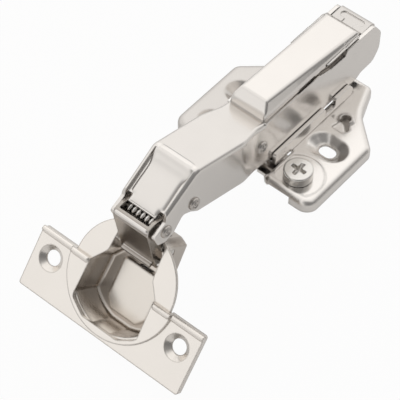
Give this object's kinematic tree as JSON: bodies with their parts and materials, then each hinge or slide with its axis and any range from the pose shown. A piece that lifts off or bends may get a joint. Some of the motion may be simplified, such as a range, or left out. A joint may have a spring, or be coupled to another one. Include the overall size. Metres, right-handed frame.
{
  "type": "concealed cup hinge",
  "caption": "Concealed cup hinge for a cabinet door, wide open, on its clip-on mounting plate with release lever and adjusting screws.",
  "frame": {"origin": "on the face of the mounting plate that lies on the cabinet side, at the height screw's place along the arm and midway between the plate's two wings", "axes": "+X along the arm towards the door, +Y across it, +Z out of the cabinet side"},
  "size_m": [0.1222, 0.0608, 0.0538],
  "materials": {
    "nickel_plate": "satin nickel plate on pressed steel",
    "screw_steel": "bright nickel plate on turned steel",
    "spring_steel": "bare spring wire",
    "damper_plastic": "moulded, matt"
  },
  "bodies": {
    "plate": {"mounting_plate": "nickel_plate"},
    "height_adjuster": {"height_screw": "screw_steel"},
    "base": {"base_channel": "nickel_plate", "clip_carrier": "nickel_plate", "lever_pin": "screw_steel", "lever_spring": "spring_steel"},
    "lever": {"release_lever": "nickel_plate"},
    "slider": {"slide_frame": "nickel_plate"},
    "depth_adjuster": {"depth_cam": "screw_steel"},
    "side_adjuster": {"side_screw": "screw_steel"},
    "arm": {"arm": "nickel_plate", "cap_cover": "nickel_plate", "frame_pin": "screw_steel", "front_pin": "screw_steel", "rear_pin": "screw_steel", "closing_spring": "spring_steel"},
    "outer": {"outer_link": "nickel_plate"},
    "cup": {"cup": "nickel_plate", "cup_flange": "nickel_plate", "cup_link_pin": "screw_steel", "cup_inner_pin": "screw_steel", "damper_cover": "nickel_plate", "damper_body": "damper_plastic"},
    "inner": {"inner_link": "nickel_plate"},
    "damper": {"damper_slider": "damper_plastic"}
  },
  "joints": [
    {"name": "height_slide", "type": "slide", "parent": "plate", "child": "base", "axis": [0, 1, 0], "range_m": [-0.002, 0.002]},
    {"name": "height_turn", "type": "hinge", "parent": "plate", "child": "height_adjuster", "pos_m": [0, 0.016, 0.004], "axis": [0, 0, 1], "range_deg": [-92, 92]},
    {"name": "lever_press", "type": "hinge", "parent": "base", "child": "lever", "pos_m": [-0.041, 0, 0.014], "axis": [0, 1, 0], "range_deg": [0, 6], "stiffness_Nm_per_rad": 0.08, "springref_deg": -11.46},
    {"name": "depth_slide", "type": "slide", "parent": "base", "child": "slider", "axis": [1, 0, 0], "range_m": [-0.002, 0.002]},
    {"name": "depth_turn", "type": "hinge", "parent": "slider", "child": "depth_adjuster", "pos_m": [-0.012, 0, 0.02], "axis": [0, 0, 1], "range_deg": [-92, 92]},
    {"name": "side_turn", "type": "hinge", "parent": "slider", "child": "side_adjuster", "pos_m": [-0.024, 0, 0.02], "axis": [0, 0, 1], "range_deg": [-232, 232]},
    {"name": "side_tilt", "type": "hinge", "parent": "slider", "child": "arm", "pos_m": [0.0065, 0, 0.016], "axis": [0, 1, 0], "range_deg": [-1.2, 1.2]},
    {"name": "outer_swing", "type": "hinge", "parent": "arm", "child": "outer", "pos_m": [0.05, 0, 0.0198], "axis": [0, -1, 0], "range_deg": [-43.9, 0]},
    {"name": "cup_fold", "type": "hinge", "parent": "outer", "child": "cup", "pos_m": [0.05127, 0, 0.00502], "axis": [0, -1, 0], "range_deg": [0, 138.4]},
    {"name": "inner_swing", "type": "hinge", "parent": "cup", "child": "inner", "pos_m": [0.04821, 0, 0.0082], "axis": [0, -1, 0], "range_deg": [-134.5, 0]},
    {"name": "damper_stroke", "type": "slide", "parent": "cup", "child": "damper", "axis": [0.6258, 0, -0.78], "range_m": [0, 0.00255]}
  ],
  "couplings": [
    {"joint": "height_turn", "follows": "height_slide", "rad_per_m": 785.4},
    {"joint": "depth_turn", "follows": "depth_slide", "rad_per_m": 785.4},
    {"joint": "side_turn", "follows": "side_tilt", "ratio": 191},
    {"joint": "outer_swing", "follows": "cup_fold", "ratio": -0.31379},
    {"joint": "inner_swing", "follows": "cup_fold", "ratio": -0.96692},
    {"joint": "damper_stroke", "follows": "cup_fold", "m_per_rad": 0.001035}
  ]
}
